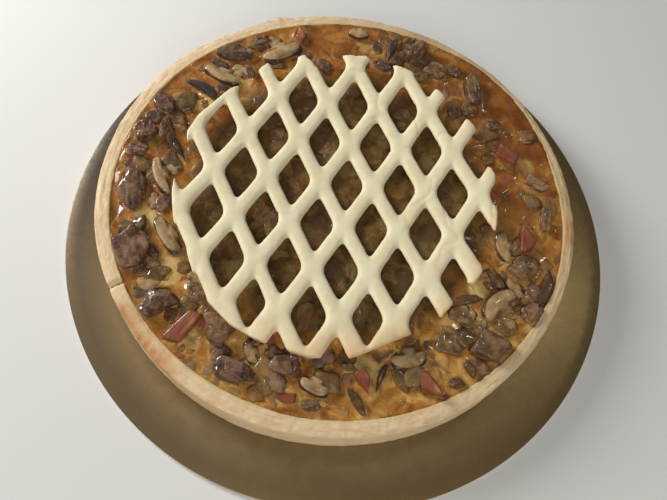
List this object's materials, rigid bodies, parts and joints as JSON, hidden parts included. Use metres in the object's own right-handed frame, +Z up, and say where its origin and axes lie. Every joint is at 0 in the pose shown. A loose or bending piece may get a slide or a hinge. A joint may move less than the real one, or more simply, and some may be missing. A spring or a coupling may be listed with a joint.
{
  "type": "quiche",
  "caption": "Round baked quiche with a straight pastry wall, a cut pastry lattice over its middle, and mushroom and ham pieces, on a round gold cake card.",
  "frame": {"origin": "middle of the underside of the cake card, on the surface that it stands on", "axes": "+Z up, -Y towards the side that the picture was taken from, +X to the right of that view"},
  "size_m": [0.32, 0.32, 0.0364],
  "materials": {
    "card": "satin",
    "crust": "matte",
    "custard": "satin",
    "lattice": "matte",
    "mushroom_dark": "satin",
    "mushroom_pale": "satin",
    "ham": "satin"
  },
  "bodies": {
    "root": {"card": "card", "crust": "crust", "filling": "custard", "ham_01": "ham", "ham_02": "ham", "ham_03": "ham", "ham_04": "ham", "ham_05": "ham", "ham_06": "ham", "ham_07": "ham", "lattice": "lattice", "mushroom_cap_01": "mushroom_dark", "mushroom_cap_02": "mushroom_dark", "mushroom_cap_03": "mushroom_dark", "mushroom_cap_04": "mushroom_dark", "mushroom_cap_05": "mushroom_dark", "mushroom_cap_06": "mushroom_dark", "mushroom_cap_07": "mushroom_dark", "mushroom_cap_08": "mushroom_dark", "mushroom_chunk_01": "mushroom_dark", "mushroom_chunk_02": "mushroom_dark", "mushroom_chunk_03": "mushroom_dark", "mushroom_chunk_04": "mushroom_dark", "mushroom_chunk_05": "mushroom_dark", "mushroom_chunk_06": "mushroom_dark", "mushroom_chunk_07": "mushroom_dark", "mushroom_chunk_08": "mushroom_dark", "mushroom_chunk_09": "mushroom_dark", "mushroom_chunk_10": "mushroom_dark", "mushroom_chunk_11": "mushroom_dark", "mushroom_chunk_12": "mushroom_dark", "mushroom_chunk_13": "mushroom_dark", "mushroom_chunk_14": "mushroom_dark", "mushroom_chunk_15": "mushroom_dark", "mushroom_chunk_16": "mushroom_dark", "mushroom_chunk_17": "mushroom_dark", "mushroom_chunk_18": "mushroom_dark", "mushroom_chunk_19": "mushroom_dark", "mushroom_chunk_20": "mushroom_dark", "mushroom_chunk_21": "mushroom_dark", "mushroom_skin_01": "mushroom_dark", "mushroom_skin_02": "mushroom_dark", "mushroom_skin_03": "mushroom_dark", "mushroom_skin_04": "mushroom_dark", "mushroom_skin_05": "mushroom_dark", "mushroom_skin_06": "mushroom_dark", "mushroom_skin_07": "mushroom_dark", "mushroom_skin_08": "mushroom_dark", "mushroom_slice_01": "mushroom_pale", "mushroom_slice_02": "mushroom_pale", "mushroom_slice_03": "mushroom_pale", "mushroom_slice_04": "mushroom_pale", "mushroom_slice_05": "mushroom_pale", "mushroom_slice_06": "mushroom_pale", "mushroom_slice_07": "mushroom_pale", "mushroom_slice_08": "mushroom_pale", "mushroom_slice_09": "mushroom_pale"}
  },
  "joints": []
}
